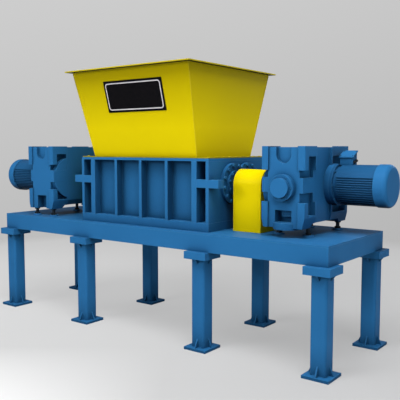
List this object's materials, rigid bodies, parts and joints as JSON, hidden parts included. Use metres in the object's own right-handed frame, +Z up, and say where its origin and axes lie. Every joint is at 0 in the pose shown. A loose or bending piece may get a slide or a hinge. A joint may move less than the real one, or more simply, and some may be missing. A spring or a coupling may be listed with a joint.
{
  "type": "double shaft shredder",
  "caption": "Double shaft shredder: a square hopper over a plate-built cutting chamber on a legged table, with a coupling guard, gearbox and motor at each end.",
  "frame": {"origin": "on the floor, under the middle of the machine", "axes": "+X along the machine towards the right-hand motor, -Y towards the front, +Z up"},
  "size_m": [5.46, 1.78, 3.144],
  "materials": {
    "blue_paint": "semi-gloss blue machine enamel",
    "yellow_paint": "semi-gloss yellow machine enamel",
    "bare_steel": "oiled machined steel"
  },
  "bodies": {
    "root": {"leg_front_1": "blue_paint", "leg_front_2": "blue_paint", "leg_front_3": "blue_paint", "leg_front_4": "blue_paint", "leg_back_1": "blue_paint", "leg_back_2": "blue_paint", "leg_back_3": "blue_paint", "leg_back_4": "blue_paint", "front_beam": "blue_paint", "end_beam_right": "blue_paint", "back_beam": "blue_paint", "end_beam_left": "blue_paint", "cross_beams": "blue_paint", "deck_plate": "blue_paint", "chamber_front_wall": "blue_paint", "chamber_back_wall": "blue_paint", "inner_end_wall_right": "blue_paint", "inner_end_wall_left": "blue_paint", "bearing_plate_right": "blue_paint", "bearing_plate_left": "blue_paint", "split_blocks_right": "blue_paint", "split_blocks_left": "blue_paint", "base_frame": "blue_paint", "chamber_top_flange": "blue_paint", "bearing_front_right": "blue_paint", "bearing_back_left": "blue_paint", "bearing_back_right": "blue_paint", "bearing_front_left": "blue_paint", "gearbox_right": "blue_paint", "gearbox_left": "blue_paint", "gearbox_cover_right": "blue_paint", "gearbox_cover_left": "blue_paint", "motor_right": "blue_paint", "motor_left": "blue_paint", "fan_cowl_right": "blue_paint", "fan_cowl_left": "blue_paint", "terminal_box_right": "blue_paint", "terminal_box_left": "blue_paint", "hopper_front": "yellow_paint", "hopper_right": "yellow_paint", "hopper_back": "yellow_paint", "hopper_left": "yellow_paint", "hopper_flange": "yellow_paint", "guard_right": "yellow_paint", "guard_left": "yellow_paint", "shaft_front": "bare_steel", "shaft_back": "bare_steel", "cutters_front": "bare_steel", "cutters_back": "bare_steel", "scraper_front": "bare_steel", "scraper_back": "bare_steel", "coupling_right": "bare_steel", "coupling_left": "bare_steel", "gearbox_feet_right": "bare_steel", "gearbox_feet_left": "bare_steel"}
  },
  "joints": []
}
